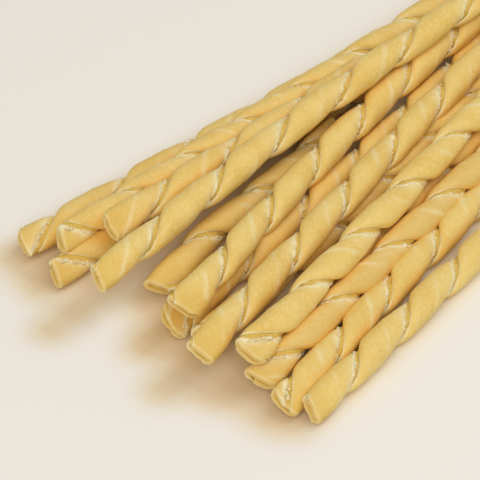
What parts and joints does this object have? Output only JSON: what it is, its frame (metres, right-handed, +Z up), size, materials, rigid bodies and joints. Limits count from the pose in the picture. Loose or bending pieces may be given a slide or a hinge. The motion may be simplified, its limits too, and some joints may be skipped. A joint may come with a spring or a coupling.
{
  "type": "bundle of long fusilli",
  "caption": "Loose bundle of long dried pasta strands, each a ribbon rolled to an open tube and twisted like a screw, fanned at one end.",
  "frame": {"origin": "on the table, below the middle of the bundle's bounding box", "axes": "+Z up from the table, +Y along the strands from their fanned ends to their far ends, +X to the right seen from the fanned ends"},
  "size_m": [0.0714, 0.2143, 0.0161],
  "materials": {
    "pasta": "matte"
  },
  "bodies": {
    "root": {"fusilli_bundle": "pasta"}
  },
  "joints": []
}
